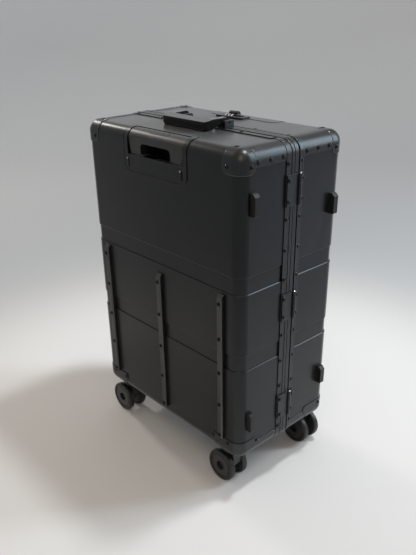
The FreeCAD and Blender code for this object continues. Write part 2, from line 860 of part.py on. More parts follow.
def latch_bases():
    """Low plates on the rear frame, each with a pin that a lever turns on."""
    x1 = left - ridge_proud
    y0, y1 = latch_pin_y - latch_base_width / 2, latch_pin_y + latch_base_width / 2
    bases = []
    for z in latch_heights():
        low, high = z - latch_height / 2, z + latch_height / 2
        pieces = [box(x1 - latch_base_plate, x1, y0, y1, low, high)]
        for z0 in (low, high - latch_ear):
            pieces.append(box(latch_pin_x - latch_ear, x1, y0, y1, z0, z0 + latch_ear))
        pin_foot = Vector(latch_pin_x, latch_pin_y, low)
        pieces.append(Part.makeCylinder(latch_pin_radius, latch_height, pin_foot, Z_AXIS))
        bases.append(fuse(pieces))
    return bases


def latch_lever(z):
    """Lever that lies over the split and bears on the keeper."""
    half = latch_height / 2 - latch_ear - latch_clearance
    t = latch_lever_thickness / 2
    arm = box(latch_pin_x - t, latch_pin_x + t, latch_pin_y, latch_pin_y + latch_lever_reach,
              z - half, z + half)
    tip = [e for e in edges_along(arm, Z_AXIS)
           if e.Vertexes[0].Y > latch_pin_y + t and e.Vertexes[0].X < latch_pin_x]
    arm = arm.makeFillet(t, tip)
    barrel = Part.makeCylinder(latch_pin_radius + latch_barrel_wall, 2 * half,
                               Vector(latch_pin_x, latch_pin_y, z - half), Z_AXIS)
    bore = Part.makeCylinder(latch_pin_radius + running_clearance, 2 * half,
                             Vector(latch_pin_x, latch_pin_y, z - half), Z_AXIS)
    return fuse([arm, barrel]).cut(bore)


def latch_keepers():
    """Ledges on the front frame that the levers bear on."""
    keepers = []
    x1 = left - ridge_proud
    x0 = latch_pin_x + latch_lever_thickness / 2 + latch_clearance
    for z in latch_heights():
        low, high = z - latch_height / 2 + latch_ear, z + latch_height / 2 - latch_ear
        keepers.append(fuse([
            box(x0, x1, front_face, front_shell_start, low, high),
            box(x0, left - flange_proud, front_shell_start, front_face + keeper_width, low, high)]))
    return keepers


def caster_places():
    """Pivot of each caster by name."""
    x = body_width / 2 - caster_from_side
    y = body_depth / 2 - caster_from_face
    names = (("rear_left", -1, -1), ("rear_right", 1, -1), ("front_left", -1, 1), ("front_right", 1, 1))
    return {name: (x_mid + sx * x, y_mid + sy * y) for name, sx, sy in names}


def caster_housing(x, y):
    """Round pad under the case with a boss through its floor."""
    pad_top = bottom + edge_radius
    pad = Part.makeCylinder(caster_pad_radius, pad_top - bottom + caster_pad_height,
                            Vector(x, y, bottom - caster_pad_height), Z_AXIS).cut(body_block(0))
    boss = Part.makeCylinder(caster_boss_radius, caster_boss_height, Vector(x, y, bottom), Z_AXIS)
    return fuse([pad, boss]).cut(kingpin(x, y))


def kingpin(x, y):
    z0 = bottom - caster_pad_height - kingpin_depth
    return Part.makeCylinder(kingpin_radius, bottom + caster_boss_height - z0, Vector(x, y, z0), Z_AXIS)


def hub_places():
    """Where each caster's axle is along X; the front right one has swivelled about."""
    trails = {name: -caster_trail for name in caster_places()}
    trails["front_right"] = caster_trail
    return {name: x + trails[name] for name, (x, y) in caster_places().items()}


def caster_fork(x, y, hub_x):
    """Swivel collar with a rounded fin down past the axle, between the two wheels."""
    z1 = bottom - caster_pad_height - swivel_clearance
    z0 = z1 - collar_height
    collar = Part.makeCylinder(collar_radius, collar_height, Vector(x, y, z0), Z_AXIS)
    collar = collar.makeChamfer(collar_chamfer, [e for e in collar.Edges if e.BoundBox.ZMax < z0 + tiny])
    half = fork_thickness / 2
    wide = collar_radius - collar_chamfer
    ahead = 1 if hub_x < x else -1
    outline = [(x - ahead * wide, z0), (x + ahead * wide, z0),
               (hub_x + ahead * fork_fin, wheel_radius + fork_boss_radius),
               (hub_x + ahead * fork_boss_radius, wheel_radius - fork_toe),
               (hub_x - ahead * fork_boss_radius, wheel_radius)]
    fin = prism([Vector(u, y - half, v) for u, v in outline], Vector(0, fork_thickness, 0))
    fin = fin.makeFillet(fork_round, [e for e in edges_along(fin, Y_AXIS) if e.Vertexes[0].Z < z0 - tiny])
    boss = Part.makeCylinder(fork_boss_radius, fork_thickness, Vector(hub_x, y - half, wheel_radius), Y_AXIS)
    axle_bore = Part.makeCylinder(axle_radius + running_clearance, fork_thickness,
                                  Vector(hub_x, y - half, wheel_radius), Y_AXIS)
    depth = kingpin_depth + swivel_clearance
    pin_bore = Part.makeCylinder(kingpin_radius + running_clearance, depth, Vector(x, y, z1 - depth), Z_AXIS)
    return fuse([collar, fin, boss]).cut(axle_bore).cut(pin_bore)


def turned(profile, x, y, side):
    """Solid turned about the axle from (radius, distance from the fork's middle) points."""
    points = [Vector(x + r, y + side * a, wheel_radius) for r, a in profile]
    face = Part.Face(Part.makePolygon(points + points[:1]))
    return face.revolve(Vector(x, y, wheel_radius), Y_AXIS, 360)


def caster_wheels(y, hub_x):
    """Two hubs pressed on one axle, and their tyres."""
    a0 = fork_thickness / 2 + wheel_clearance
    a1 = a0 + wheel_width
    rim = wheel_radius - tyre_thickness
    face = a1 - hub_inset
    ring = rim - 2 * hub_groove
    hub = [(axle_radius, a0), (rim, a0), (rim, face), (ring + hub_groove, face),
           (ring + hub_groove, face - hub_groove), (ring, face - hub_groove), (ring, face),
           (hub_recess_radius, face), (hub_recess_radius, face - hub_recess_depth),
           (axle_radius, face - hub_recess_depth)]
    reach = face - hub_recess_depth
    axle = Part.makeCylinder(axle_radius, 2 * reach, Vector(hub_x, y - reach, wheel_radius), Y_AXIS)
    hubs = [turned(hub, hub_x, y, side) for side in (-1, 1)]
    s = tyre_shoulder
    tread = wheel_radius
    tyre = [(rim, a0), (tread - s, a0), (tread, a0 + s), (tread, a1 - s), (tread - s, a1), (rim, a1)]
    return hubs + [axle], [turned(tyre, hub_x, y, side) for side in (-1, 1)]


def rear_obstacles(gap):
    """Spaces that the rear lining goes round: the trolley tubes, its housing and the caster bosses."""
    lap = bezel_groove + bezel_lap + gap
    half = bezel_half_width + lap
    tube_half = tube_x + tube_width / 2 + bezel_wall + gap
    spaces = [
        box(x_mid - tube_half, x_mid + tube_half, back - far, tube_y + tube_thickness / 2 + gap, -far, far),
        box(x_mid - half, x_mid + half, back - far, back + well_depth + bezel_wall + gap,
            grip_bottom - well_below - bezel_wall - gap, far),
        box(x_mid - half, x_mid + half, back - far, back + bezel_reach + lap, top - bezel_drop - lap, far)]
    return spaces + caster_spaces(("rear_left", "rear_right"), gap)


def caster_spaces(names, gap):
    places = caster_places()
    return [Part.makeCylinder(caster_boss_radius + gap, caster_boss_height + gap + far,
                              Vector(*places[name], bottom - far), Z_AXIS) for name in names]


def front_obstacles(gap):
    return [lock_case_space(gap)] + caster_spaces(("front_left", "front_right"), gap)


def lining_tray(obstacles, y0, y1):
    """Fabric skin inside one shell, open at the split."""
    half = box(-far, far, y0, y1, -far, far)
    outer = tiered_block(-wall - lining_gap, wall + lining_gap).common(half)
    inner = tiered_block(-wall - lining_gap - lining, wall + lining_gap + lining).common(half)
    for space in obstacles(lining_gap):
        outer = outer.cut(space)
    for space in obstacles(lining_gap + lining):
        inner = inner.cut(space)
    return outer.cut(inner)


def rear_half():
    rear_shell, _ = shell_halves()
    rear_shell = rear_shell.cut(bezel_block(bezel_groove))
    for space in caster_spaces(("rear_left", "rear_right"), 0):
        rear_shell = rear_shell.cut(space)
    parts["rear_shell"] = [rear_shell]
    parts["rear_frame"] = [rear_frame()]
    parts["rear_lining"] = [lining_tray(rear_obstacles, -far, rear_shell_end)]
    parts["rear_corner_caps"] = corner_plates(back, True)
    parts["rear_corner_guards"] = corner_plates(back, False)
    parts["rear_edge_strips"] = edge_strips(back)
    parts["skid_rails"] = skid_rails()
    parts["rear_side_feet"] = side_feet(back, rear_foot_spread, 0)
    parts["trolley_bezel"] = [trolley_bezel()]
    parts["trolley_outer_tubes"] = trolley_tubes(0)
    parts["trolley_foot"] = [trolley_foot()]
    parts["latch_bases"] = latch_bases()


def front_half():
    _, front_shell = shell_halves()
    front_shell = front_shell.cut(lock_case_space(0))
    for space in caster_spaces(("front_left", "front_right"), 0):
        front_shell = front_shell.cut(space)
    panel_space = edge_block(lock_panel_half_width, lock_panel_reach, lock_panel_drop, bezel_corner, front)
    panel = skin(lock_panel_proud).common(panel_space)
    parts["front_shell"] = [front_shell]
    parts["front_frame"] = [front_frame()]
    parts["frame_seal"] = [frame_seal()]
    parts["front_lining"] = [lining_tray(front_obstacles, front_shell_start, far)]
    parts["front_corner_caps"] = corner_plates(front, True)
    parts["front_corner_guards"] = corner_plates(front, False)
    parts["front_edge_strips"] = edge_strips(front)
    parts["front_side_feet"] = side_feet(front, front_foot_spread, front_foot_drop)
    parts["lock_panel"] = [panel.cut(lock_plate(strip_joint))]
    parts["lock_body"] = [lock_body()]
    parts["latch_keepers"] = latch_keepers()


def moving_pieces():
    parts["trolley_mid_tubes"] = trolley_tubes(1)
    parts["trolley_inner_tubes"] = trolley_tubes(2)
    parts["trolley_grip"] = [trolley_grip()]
    parts["trolley_button"] = [trolley_button()]
    parts["lock_lever"] = [lock_lever()]
    parts["lock_slider"] = [lock_slider()]
    for index, dial in enumerate(lock_dials()):
        parts["lock_dial_%d" % (index + 1)] = [dial]
    for name, z in zip(("lower", "upper"), latch_heights()):
        parts["latch_lever_" + name] = [latch_lever(z)]


def carry_handles():
    brackets, pins = handle_brackets()
    handle = carry_handle()
    parts["top_handle_brackets"] = brackets
    parts["top_handle_pins"] = pins
    parts["top_handle"] = [handle]
    parts["side_handle_brackets"] = [to_latch_side(piece) for piece in brackets]
    parts["side_handle_pins"] = [to_latch_side(piece) for piece in pins]
    parts["side_handle"] = [to_latch_side(handle)]


def hinges():
    rear_leaves, front_leaves, pins = hinge_leaves()
    parts["rear_hinge_leaves"] = rear_leaves
    parts["front_hinge_leaves"] = front_leaves
    parts["hinge_pins"] = pins


def casters():
    places = caster_places()
    for half in ("rear", "front"):
        pair = [places[half + "_left"], places[half + "_right"]]
        parts[half + "_caster_housings"] = [caster_housing(x, y) for x, y in pair]
        parts[half + "_caster_pins"] = [kingpin(x, y) for x, y in pair]
    for name, (x, y) in places.items():
        hub_x = hub_places()[name]
        hubs, tyres = caster_wheels(y, hub_x)
        parts["caster_%s_fork" % name] = [caster_fork(x, y, hub_x)]
        parts["caster_%s_wheelset" % name] = hubs
        parts["caster_%s_tyres" % name] = tyres


rear_half()
front_half()
hinges()
carry_handles()
moving_pieces()
casters()

os.makedirs("parts", exist_ok=True)
for node, solids in parts.items():
    shape = solids[0] if len(solids) == 1 else Part.makeCompound(solids)
    shape.exportStep("parts/%s.step" % node)
    print(node, len(shape.Solids), round(shape.Volume), shape.isValid())
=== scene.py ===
import json
import math

import bmesh
import bpy
from mathutils import Matrix, Vector, noise as solid_noise
from mathutils.bvhtree import BVHTree


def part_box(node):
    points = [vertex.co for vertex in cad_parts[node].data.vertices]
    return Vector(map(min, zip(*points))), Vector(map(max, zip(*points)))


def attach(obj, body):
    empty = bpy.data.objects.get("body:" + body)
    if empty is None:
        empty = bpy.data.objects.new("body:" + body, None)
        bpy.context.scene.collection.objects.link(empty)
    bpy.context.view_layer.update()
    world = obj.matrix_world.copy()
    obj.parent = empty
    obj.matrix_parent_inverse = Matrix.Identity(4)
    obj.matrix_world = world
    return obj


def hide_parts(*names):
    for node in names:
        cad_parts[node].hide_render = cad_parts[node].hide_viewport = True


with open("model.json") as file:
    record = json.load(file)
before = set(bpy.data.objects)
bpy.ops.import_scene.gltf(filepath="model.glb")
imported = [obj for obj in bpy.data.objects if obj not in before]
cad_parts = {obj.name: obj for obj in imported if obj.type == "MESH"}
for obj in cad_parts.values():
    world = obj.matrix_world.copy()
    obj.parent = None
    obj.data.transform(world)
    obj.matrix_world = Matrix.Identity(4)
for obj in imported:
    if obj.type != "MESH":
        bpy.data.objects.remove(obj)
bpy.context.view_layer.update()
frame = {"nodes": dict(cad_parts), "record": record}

UP = Vector((0, 0, 1))
DOWN = Vector((0, 0, -1))
EAST = Vector((1, 0, 0))
WEST = Vector((-1, 0, 0))
REAR = Vector((0, -1, 0))
AHEAD = Vector((0, 1, 0))

# Places worked out from the frame, in metres
shell_low, shell_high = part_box("rear_shell")
shell_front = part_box("front_shell")[1].y
bottom, top = shell_low.z, shell_high.z
left, right, back = shell_low.x, shell_high.x, shell_low.y
middle_x = (left + right) / 2
middle_z = (bottom + top) / 2
rear_frame_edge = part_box("rear_frame")[0].y
front_frame_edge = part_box("front_frame")[1].y

# Each half of the case: its outer face, the outer edge of its frame, and the way out through that face
halves = (("rear", back, rear_frame_edge, REAR), ("front", shell_front, front_frame_edge, AHEAD))

# Noise in every finish: clouds in the colour, patches in the gloss, and a fine grain
noise_low = 0.3
noise_high = 0.7
cloud_scale = 5.0
cloud_detail = 3.0
gloss_scale = 30.0
gloss_detail = 4.0
grain_detail = 2.0
grain_strength = 0.25


def node_material(name):
    """New node material, its tree and its shader."""
    material = bpy.data.materials.new(name)
    material.use_nodes = True
    tree = material.node_tree
    return material, tree, tree.nodes["Principled BSDF"]


def add_node(tree, kind, **values):
    """New node; each value goes to the input of that name, or else to the setting of that name."""
    node = tree.nodes.new(kind)
    for key, value in values.items():
        if key in node.inputs:
            node.inputs[key].default_value = value
        else:
            setattr(node, key, value)
    return node


def noise(tree, scale, detail, stretch=None):
    """Noise in the object's own metres, with an optional stretch along its axes."""
    vector = tree.nodes.new("ShaderNodeTexCoord").outputs["Object"]
    if stretch:
        mapping = add_node(tree, "ShaderNodeMapping", Scale=stretch)
        tree.links.new(vector, mapping.inputs["Vector"])
        vector = mapping.outputs["Vector"]
    texture = add_node(tree, "ShaderNodeTexNoise", Scale=scale, Detail=detail)
    tree.links.new(vector, texture.inputs["Vector"])
    return texture.outputs["Fac"]


def span(tree, value, low, high):
    """Noise mapped to a range of numbers."""
    node = tree.nodes.new("ShaderNodeMapRange")
    node.inputs["From Min"].default_value = noise_low
    node.inputs["From Max"].default_value = noise_high
    node.inputs["To Min"].default_value = low
    node.inputs["To Max"].default_value = high
    tree.links.new(value, node.inputs["Value"])
    return node.outputs["Result"]


def clouds(tree, scale, detail, dark, light):
    """Colour that drifts between a dark and a light shade."""
    node = add_node(tree, "ShaderNodeMix", data_type="RGBA")
    node.inputs["A"].default_value = (*dark, 1)
    node.inputs["B"].default_value = (*light, 1)
    tree.links.new(span(tree, noise(tree, scale, detail), 0.0, 1.0), node.inputs["Factor"])
    return node.outputs["Result"]


def bump(tree, shader, height, depth):
    """Fine relief on a shader."""
    node = add_node(tree, "ShaderNodeBump", Strength=grain_strength, Distance=depth)
    tree.links.new(height, node.inputs["Height"])
    tree.links.new(node.outputs["Normal"], shader.inputs["Normal"])


def surface(name, dark, light, rough, metal, grain, depth, uneven=0.04, stretch=None, **sockets):
    """Finish with cloudy colour, uneven gloss and a fine grain; sockets are set on the shader as they are."""
    material, tree, shader = node_material(name)
    shader.inputs["Metallic"].default_value = metal
    for socket, value in sockets.items():
        shader.inputs[socket.replace("_", " ")].default_value = value
    colour = clouds(tree, cloud_scale, cloud_detail, dark, light)
    tree.links.new(colour, shader.inputs["Base Color"])
    patches = noise(tree, gloss_scale, gloss_detail, stretch)
    tree.links.new(span(tree, patches, rough - uneven, rough + uneven), shader.inputs["Roughness"])
    bump(tree, shader, noise(tree, grain, grain_detail, stretch), depth)
    return material


def grey(value, tint=0.0):
    """Grey with an optional tint towards blue."""
    return (value * (1 - tint), value, value * (1 + tint))


# Finishes of the record's material slots
materials = {
    "black_shell": surface("anodised_shell", grey(0.036, 0.04), grey(0.041, 0.04), rough=0.30, metal=1.0,
                           grain=1500, depth=0.00002, uneven=0.012, Sheen_Weight=0.27, Sheen_Roughness=0.35),
    "black_metal": surface("anodised_metal", grey(0.050, 0.05), grey(0.060, 0.05), rough=0.35, metal=1.0,
                           grain=1900, depth=0.00002, uneven=0.012, Sheen_Weight=0.2, Sheen_Roughness=0.35),
    "dark_steel": surface("dark_steel", grey(0.20), grey(0.30), rough=0.30, metal=1.0,
                          grain=900, depth=0.00002),
    "black_plastic": surface("moulded_plastic", grey(0.011), grey(0.015), rough=0.34, metal=0.0,
                             grain=1100, depth=0.00003, uneven=0.02, Sheen_Weight=0.15, Sheen_Roughness=0.4),
    "grey_tube": surface("brushed_tube", grey(0.24), grey(0.30), rough=0.30, metal=1.0,
                         grain=700, depth=0.00003, stretch=(1.0, 1.0, 0.02)),
    "lining": surface("lining_fabric", grey(0.030), grey(0.042), rough=0.80, metal=0.0,
                      grain=900, depth=0.0002),
    "seal": surface("seal_rubber", grey(0.008), grey(0.012), rough=0.60, metal=0.0,
                    grain=700, depth=0.00005),
    "feet": surface("foot_rubber", grey(0.006), grey(0.009), rough=0.36, metal=0.0, grain=1200, depth=0.00003,
                    Specular_IOR_Level=0.25, Sheen_Weight=0.15, Sheen_Roughness=0.4),
    "tyre": surface("tyre_rubber", grey(0.009), grey(0.013), rough=0.42, metal=0.0,
                    grain=1400, depth=0.00006),
}

# Further finishes
rivet_black = surface("rivet_black", grey(0.003), grey(0.005), rough=0.10, metal=0.0,
                      grain=600, depth=0.00001, uneven=0.01, Specular_IOR_Level=0.25)
screw_black = surface("screw_black", grey(0.003), grey(0.005), rough=0.50, metal=0.0,
                      grain=600, depth=0.00002, Specular_IOR_Level=0.12)
bright_steel = surface("bright_steel", grey(0.62), grey(0.74), rough=0.22, metal=1.0,
                       grain=500, depth=0.00001)
# Lighter metal for the rounded edges of some nodes: a painted highlight
painted_edge_highlight = surface("painted_edge_highlight", grey(0.16, 0.04), grey(0.21, 0.04), rough=0.30, metal=1.0,
                   grain=900, depth=0.00001)
rail_metal = surface("rail_metal", grey(0.080), grey(0.100), rough=0.34, metal=1.0,
                     grain=1500, depth=0.00003)
handle_plastic = surface("handle_plastic", grey(0.005, 0.05), grey(0.007, 0.05), rough=0.24, metal=0.0,
                         grain=1300, depth=0.00002, uneven=0.02,
                         Specular_IOR_Level=0.22, Sheen_Weight=0.9, Sheen_Roughness=0.26)

# Nodes with a finish of their own, and nodes whose rounded edges get a lighter metal as a painted highlight
own_finish = {"skid_rails": rail_metal, "top_handle": handle_plastic, "side_handle": handle_plastic,
              "top_handle_pins": screw_black, "side_handle_pins": screw_black,
              "trolley_bezel": materials["black_shell"]}
highlight_edged = ("corner_caps", "corner_guards", "edge_strips", "_frame", "lock_body")

# Nodes with narrow ring-shaped faces, which stay in triangles
kept_triangles = ("skid_rails", "top_handle_brackets", "trolley_button")

# Rounding of the carried-over edges: its usual width, and other widths by the end of the node's name
edge_round = 0.0004
edge_rounds = {"corner_caps": 0.0007, "corner_guards": 0.0009, "edge_strips": 0.0008, "side_feet": 0.0012,
               "trolley_bezel": 0.0008, "trolley_grip": 0.0010, "skid_rails": 0.0006, "tyres": 0.0016,
               "hinge_leaves": 0.0006, "_handle": 0.0012, "handle_brackets": 0.0010,
               "lock_body": 0.0008, "lock_lever": 0.0008}
round_segments = 3
round_angle = math.radians(35)
flat_angle = math.radians(0.5)
weld_gap = 0.00001


def dress_cad():
    """Every carried-over node gets its own or its slot's finish and slightly rounded edges, and on some nodes
    these edges get a painted highlight.
    """
    for row in frame["record"]["subparts"]:
        name = row["node"]
        node = frame["nodes"][name]
        node.data.materials.clear()
        node.data.materials.append(own_finish.get(name, materials[row["material_slot"]]))
        weld = node.modifiers.new("weld", "WELD")
        weld.merge_threshold = weld_gap
        if name not in kept_triangles:
            flat = node.modifiers.new("flat", "DECIMATE")
            flat.decimate_type = "DISSOLVE"
            flat.angle_limit = flat_angle
        soft = node.modifiers.new("soft", "BEVEL")
        soft.width = max((w for end, w in edge_rounds.items() if name.endswith(end)), default=edge_round)
        soft.segments = round_segments
        soft.limit_method = "ANGLE"
        soft.angle_limit = round_angle
        soft.use_clamp_overlap = True
        # The rounded edges of these nodes take the lighter metal: a painted highlight
        if name.endswith(highlight_edged):
            node.data.materials.append(painted_edge_highlight)
            soft.material = node.data.materials.find(painted_edge_highlight.name)
        even = node.modifiers.new("even", "WEIGHTED_NORMAL")
        even.keep_sharp = False


def add_piece(name, mesh, body, slot, material=None):
    """New piece that rides on a body, in its slot's finish or in the one given."""
    piece = bpy.data.objects.new(name, mesh)
    bpy.context.scene.collection.objects.link(piece)
    mesh.materials.append(material or materials[slot])
    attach(piece, body)
    return piece


def finish_mesh(bm, name, smooth=True):
    """Mesh with its faces turned outward and shaded smooth or flat."""
    bmesh.ops.recalc_face_normals(bm, faces=bm.faces)
    mesh = bpy.data.meshes.new(name)
    bm.to_mesh(mesh)
    bm.free()
    for polygon in mesh.polygons:
        polygon.use_smooth = smooth
    return mesh


# Rounded stretches
quarter_turn = math.pi / 2
arc_steps = 12


def sweep(angle):
    """Angles from zero to an angle, in even steps."""
    return [angle * k / arc_steps for k in range(arc_steps + 1)]


def circle(radius, sides):
    """Points around the origin."""
    turns = [2 * math.pi * k / sides for k in range(sides)]
    return [(radius * math.cos(a), radius * math.sin(a)) for a in turns]


def join_loops(bm, low, high):
    """Faces between two loops of points, the second of which may be a single point."""
    sides = len(low)
    for k in range(sides):
        n = (k + 1) % sides
        if len(high) == 1:
            bm.faces.new((low[k], low[n], high[0]))
        else:
            bm.faces.new((low[k], low[n], high[n], high[k]))


# Fasteners: each head is sunk a little into what it sits on
sunk = 0.0002
rivet_radius = 0.0043
# Black ring wider than the rivet's dome: painted shade around each head
rivet_shade_ring = 0.0054
rivet_height = 0.0029
low_rivet_height = 0.0014
rivet_sides = 20
rivet_rings = 5
facing_up = 0.7
screw_radius = 0.0042
screw_height = 0.0010
screw_sides = 12
socket_radius = 0.0030
socket_depth = 0.0009
search_height = 0.05


def tree_of(nodes):
    """Search tree over the faces of some nodes."""
    points, faces = [], []
    for node in nodes:
        mesh = frame["nodes"][node].data
        start = len(points)
        points += [v.co.copy() for v in mesh.vertices]
        faces += [[start + i for i in p.vertices] for p in mesh.polygons]
    return BVHTree.FromPolygons(points, faces)


def seats(nodes, points, outward):
    """Where each point lands on the nodes, seen from outside, with the surface's normal."""
    tree = tree_of(nodes)
    found = []
    for point in points:
        start = Vector(point) + outward * search_height
        place, normal, _, _ = tree.ray_cast(start, -outward)
        if place is None:
            raise ValueError("nothing under a fastener at %s" % (point,))
        if normal.dot(outward) < 0:
            normal = -normal
        found.append((place, normal))
    return found


def turned_head(bm, place, normal, rings, sides):
    """Cap of revolution from (radius, height) rings; the last ring is a single point."""
    spin = normal.to_track_quat("Z", "Y").to_matrix()
    loops = []
    for radius, height in rings:
        points = circle(radius, sides) if radius else [(0, 0)]
        loops.append([bm.verts.new(place + spin @ Vector((x, y, height))) for x, y in points])
    for low, high in zip(loops, loops[1:]):
        join_loops(bm, low, high)


def heads(name, body, slot, material, seated_rings, sides=rivet_sides, smooth=True):
    """One piece of many turned heads, each given by its place, its normal and its rings."""
    bm = bmesh.new()
    for place, normal, rings in seated_rings:
        turned_head(bm, place, normal, rings, sides)
    add_piece(name, finish_mesh(bm, name, smooth), body, slot, material)


def dome(radius, height, flange=0.0):
    """Rings of a low dome on a thin rim, with an optional flange around it; on the rivets this black flange
    is painted shade.
    """
    rings = [(radius, -sunk), (radius, sunk)]
    if flange:
        rings = [(flange, -sunk), (flange, sunk / 2)] + rings[1:]
    for k in range(1, rivet_rings + 1):
        a = quarter_turn * k / rivet_rings
        ring = (radius - 2 * sunk) * math.cos(a) if k < rivet_rings else 0
        rings.append((ring, sunk + (height - sunk) * math.sin(a)))
    return rings


def rivets(name, body, places):
    """Domed rivets on a thin black flange that is painted shade around each head; those that face up are
    flatter.
    """
    low = dome(rivet_radius, low_rivet_height, rivet_shade_ring)
    high = dome(rivet_radius, rivet_height, rivet_shade_ring)
    seated = [(place, normal, low if normal.z > facing_up else high) for place, normal in places]
    heads(name, body, "black_metal", rivet_black, seated)


# Rivets of the frame: offsets from the middle of the shell, and the inset from the frame's edge
frame_rivet_heights = (0.062, 0.123, 0.185, 0.291)
latch_side_heights = (0.105, 0.218, 0.291)
frame_rivet_spread = (0.205, 0.120)
hinge_centres = (-0.240, 0.0, 0.240)
hinge_rivet_half = 0.020
flange_inset = 0.0050

# Rivets of the strips, caps and guards: distances from the edges of the shell and the frame
strip_drop = 0.024
strip_first = 0.0095
strip_pitch = 0.0325
strip_count = 3
cap_inset_x = 0.035
cap_inset_y = 0.025
cap_drop = 0.030
guard_insets_x = (0.032, 0.078)
guard_insets_y = {"rear": 0.053, "front": 0.022}
guard_rise = 0.035


def both_ways(middle, offsets):
    """Places at each offset to both sides of a middle."""
    return [middle + sign * offset for offset in offsets for sign in (-1, 1)]


def frame_rivets():
    """Rivets on the flange of each frame half, and on its hinge leaves."""
    hinge_side = both_ways(middle_z, frame_rivet_heights)
    for centre in hinge_centres:
        hinge_side += both_ways(middle_z + centre, (hinge_rivet_half,))
    latch_side = both_ways(middle_z, latch_side_heights)
    across = both_ways(middle_x, frame_rivet_spread)
    for half, _, edge, outward in halves:
        y = edge - outward.y * flange_inset
        node = half + "_frame"
        places = seats([node, half + "_hinge_leaves"], [(right, y, z) for z in hinge_side], EAST)
        places += seats([node], [(left, y, z) for z in latch_side], WEST)
        places += seats([node], [(x, y, top) for x in across], UP)
        places += seats([node], [(x, y, bottom) for x in across], DOWN)
        rivets(half + "_frame_rivets", half + "_case", places)


def trim_rivets():
    """Rivets on the strips, caps and guards of each half."""
    for half, face, edge, outward in halves:
        inward = -outward.y
        strip = [half + "_edge_strips"]
        cap = [half + "_corner_caps"]
        guard = [half + "_corner_guards"]
        strip_y = [edge - inward * (strip_first + strip_pitch * k) for k in range(strip_count)]
        cap_y, cap_z = face + inward * cap_inset_y, top - cap_drop
        guard_y, guard_z = face + inward * guard_insets_y[half], bottom + guard_rise
        places = []
        for side, x in ((EAST, right), (WEST, left)):
            cap_x = x - side.x * cap_inset_x
            places += seats(strip, [(x, y, top - strip_drop) for y in strip_y], side)
            places += seats(cap, [(x, cap_y, cap_z)], side)
            places += seats(cap, [(cap_x, face, cap_z)], outward)
            places += seats(cap, [(cap_x, cap_y, top)], UP)
            places += seats(guard, [(x, guard_y, guard_z)], side)
            places += seats(guard, [(x - side.x * d, face, guard_z) for d in guard_insets_x], outward)
        rivets(half + "_trim_rivets", half + "_case", places)


# Screws of the skid rails: heights from the bottom of the shell
rail_screw_heights = (0.053, 0.130, 0.208, 0.287, 0.364)
rail_half_width = 0.007
middle_rail_drop = 0.014


def rail_screws():
    """Flat heads with a round socket along the three skid rails."""
    low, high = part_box("skid_rails")
    columns = ((low.x + rail_half_width, 0), (middle_x, middle_rail_drop), (high.x - rail_half_width, 0))
    points = [(x, back, bottom + h - drop) for x, drop in columns for h in rail_screw_heights]
    rim, floor = screw_height - 2 * sunk, screw_height - socket_depth
    rings = [(screw_radius, -sunk), (screw_radius, rim), (screw_radius - 2 * sunk, screw_height),
             (socket_radius, screw_height), (socket_radius, floor), (0, floor)]
    seated = [(place, normal, rings) for place, normal in seats(["skid_rails"], points, REAR)]
    heads("rail_screws", "rear_case", "dark_steel", screw_black, seated, screw_sides, smooth=False)


# Heads of the hinge pins
pin_head_radius = 0.0026
pin_head_height = 0.0018


def pin_heads():
    """Bright heads on the ends of the hinge pins."""
    low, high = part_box("hinge_pins")
    axis_x, axis_y = (low.x + high.x) / 2, (low.y + high.y) / 2
    leaf_low, leaf_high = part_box("rear_hinge_leaves")
    half_hinge = (leaf_high.z - leaf_low.z) / 2 - hinge_centres[-1]
    rings = dome(pin_head_radius, pin_head_height)
    seated = []
    for centre in hinge_centres:
        for side in (-1, 1):
            end = Vector((axis_x, axis_y, middle_z + centre + side * half_hinge))
            seated.append((end, Vector((0, 0, side)), rings))
    heads("hinge_pin_heads", "rear_case", "dark_steel", bright_steel, seated)


# Screws of the trolley housing: places from the middle and the top of the shell
housing_screw_radius = 0.0016
housing_screw_x = (-0.090, 0.078)
housing_screw_drop = 0.060


def housing_screws():
    """Small screws beside the slots of the trolley housing."""
    points = [(middle_x + x, back, top - housing_screw_drop) for x in housing_screw_x]
    rings = dome(housing_screw_radius, housing_screw_radius / 2)
    seated = [(place, normal, rings) for place, normal in seats(["trolley_bezel"], points, REAR)]
    heads("housing_screws", "rear_case", "dark_steel", bright_steel, seated)


# Trolley housing: the groove around it and the two slots in its panel, and the black strips at their bottoms,
# which are painted shade
housing_half_width = 0.098
housing_drop = 0.083
housing_reach = 0.036
housing_corner = 0.013
groove_width = 0.003
groove_floor = 0.00118
groove_shade_thickness = 0.0004
shade_strip_half_share = 0.49
shell_round = 0.024
slot_inset = 0.014
slot_width = 0.0038
slot_drops = (0.0591, 0.0769)
slot_floor = 0.00125
slot_shade_thickness = 0.0006


def groove_path():
    """Points and normals along the middle of the groove, around one half of the housing, bottom to top."""
    grow = groove_width / 2
    half, corner = housing_half_width + grow, housing_corner + grow
    low, far_y = top - housing_drop - grow, back + housing_reach + grow
    corner_y = far_y - corner
    path = [(0.0, back, low, REAR)]
    for a in sweep(quarter_turn):
        path.append((half - corner + corner * math.sin(a), back, low + corner - corner * math.cos(a), REAR))
    for a in sweep(math.acos(1 - (corner_y - back) / shell_round)):
        y, z = back + shell_round * (1 - math.cos(a)), top - shell_round * (1 - math.sin(a))
        path.append((half, y, z, Vector((0, -math.cos(a), math.sin(a)))))
    for a in sweep(quarter_turn)[1:]:
        x, y = half - corner + corner * math.cos(a), corner_y + corner * math.sin(a)
        lean = max(0.0, 1 - (y - back) / shell_round)
        rise = math.sqrt(1 - lean * lean)
        path.append((x, y, top - shell_round * (1 - rise), Vector((0, -lean, rise))))
    path.append((0.0, far_y, top, UP))
    return [(Vector((middle_x + x, y, z)), normal) for x, y, z, normal in path]


